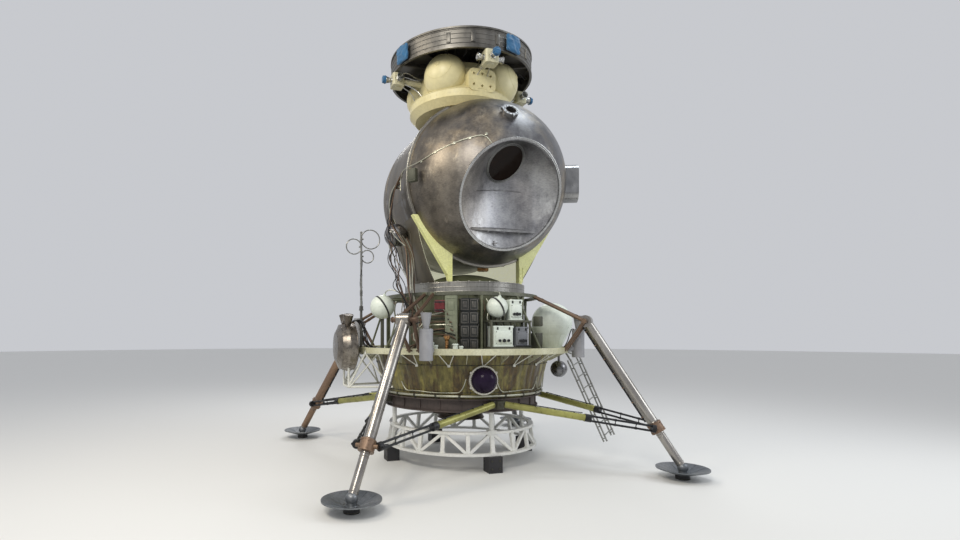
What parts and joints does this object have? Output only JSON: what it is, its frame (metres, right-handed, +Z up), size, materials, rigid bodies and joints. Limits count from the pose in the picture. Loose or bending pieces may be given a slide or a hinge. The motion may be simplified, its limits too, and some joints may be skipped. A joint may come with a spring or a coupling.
{
  "type": "lunar lander",
  "caption": "Crewed lunar lander on a display stand: round cabin with recessed window and side hatch, splayed legs with pads and a honeycomb docking plate.",
  "frame": {"origin": "on the floor, at the centre of the four foot pads, on the lander's vertical axis", "axes": "+Z up, -Y to the front where the cabin window faces, +X to the side of the hatch and the ladder"},
  "size_m": [4.2856, 4.285, 5.2],
  "materials": {
    "mast_silver": "bare",
    "body_cream": "satin cream",
    "tanks_cream": "satin cream",
    "stack_black": "matt",
    "bay_grey": "satin grey green",
    "ring_grey": "satin grey green",
    "damper_black": "black",
    "fitting_dark": "satin dark grey",
    "brace_green": "yellow green lacquer",
    "fitting_brass": "dull",
    "cabin_metal": "brushed dark",
    "cabin_rear": "brushed dark",
    "plate_grey": "dull",
    "rib_grey": "dull",
    "docking_grey": "dull",
    "rack_dark": "satin",
    "flange_metal": "bright edge",
    "block_black": "matt black paint",
    "pad_grey": "worn",
    "panel_green": "matt green grey",
    "box_grey": "satin grey",
    "door_metal": "brushed dark",
    "hatch_frame_metal": "bare",
    "hinge_steel": "bare",
    "shield_grey": "matt",
    "motor_grey": "satin grey",
    "collar_brown": "satin brown",
    "ladder_silver": "bare",
    "bracket_brown": "satin brown",
    "leg_silver": "brushed",
    "frame_brown": "matt brown",
    "pack_maroon": "cloth",
    "mast_dark": "satin",
    "cover_blue": "blue cloth",
    "nozzle_steel": "heat darkened",
    "housing_metal": "brushed",
    "platform_cream": "satin cream",
    "gusset_cream": "satin cream",
    "port_metal": "bright",
    "pod_bronze": "bronze tinted",
    "truss_white": "white",
    "stage_olive": "matt olive",
    "sensor_violet": "gloss",
    "ring_silver": "bright",
    "shield_white": "matt white",
    "sphere_silver": "polished",
    "skirt_olive": "olive film",
    "pipe_silver": "bare",
    "band_steel": "brushed",
    "stand_white": "satin white",
    "cone_green": "pale yellow green",
    "web_green": "pale yellow green",
    "strap_black": "webbing",
    "thruster_cream": "satin cream",
    "thruster_steel": "dull",
    "box_white": "satin white",
    "tank_white": "satin white",
    "pane_glass": "smoked",
    "recess_metal": "brushed",
    "rim_metal": "bright edge"
  },
  "bodies": {
    "lander": {"attitude_body": "body_cream", "attitude_tanks": "tanks_cream", "battery_stack": "stack_black", "bay_frame": "bay_grey", "bay_ring": "ring_grey", "brace_dampers": "damper_black", "brace_fittings": "fitting_dark", "brace_tubes": "brace_green", "brass_fittings": "fitting_brass", "cabin_front_shell": "cabin_metal", "cabin_rear_shell": "cabin_rear", "docking_plate": "plate_grey", "docking_ribs": "rib_grey", "docking_ring": "docking_grey", "equipment_rack": "rack_dark", "flange_ring": "flange_metal", "floor_blocks": "block_black", "foot_pads": "pad_grey", "green_panel": "panel_green", "grey_box": "box_grey", "hatch_frame": "hatch_frame_metal", "hatch_hinges": "hinge_steel", "heat_shield": "shield_grey", "hold_down_motors": "motor_grey", "knee_collars": "collar_brown", "ladder": "ladder_silver", "leg_brackets": "bracket_brown", "leg_tubes": "leg_silver", "lower_frame": "frame_brown", "maroon_pack": "pack_maroon", "mast_post": "mast_dark", "nozzle_covers": "cover_blue", "nozzles": "nozzle_steel", "periscope_housing": "housing_metal", "platform": "platform_cream", "platform_gussets": "gusset_cream", "porthole": "port_metal", "radar_pod": "pod_bronze", "radar_truss": "truss_white", "rocket_stage": "stage_olive", "sensor_dome": "sensor_violet", "sensor_ring": "ring_silver", "shield_dome": "shield_white", "silver_spheres": "sphere_silver", "skirt": "skirt_olive", "skirt_pipe": "pipe_silver", "stage_band": "band_steel", "stand_ring": "stand_white", "support_cone": "cone_green", "support_web": "web_green", "tank_straps": "strap_black", "thruster_blocks": "thruster_cream", "thruster_nozzles": "thruster_steel", "white_boxes": "box_white", "white_tanks": "tank_white", "window_panes": "pane_glass", "window_recess": "recess_metal", "window_rim": "rim_metal"},
    "hatch": {"hatch_door": "door_metal"},
    "mast": {"antenna_mast": "mast_silver"}
  },
  "joints": [
    {"name": "hatch_hinge", "type": "hinge", "parent": "lander", "child": "hatch", "pos_m": [1.222, 0.462, 3.5], "axis": [0, 0, 1], "range_deg": [0, 105]},
    {"name": "mast_fold", "type": "hinge", "parent": "lander", "child": "mast", "pos_m": [-1.35, 0.02, 1.95], "axis": [0, -1, 0], "range_deg": [0, 90]}
  ]
}
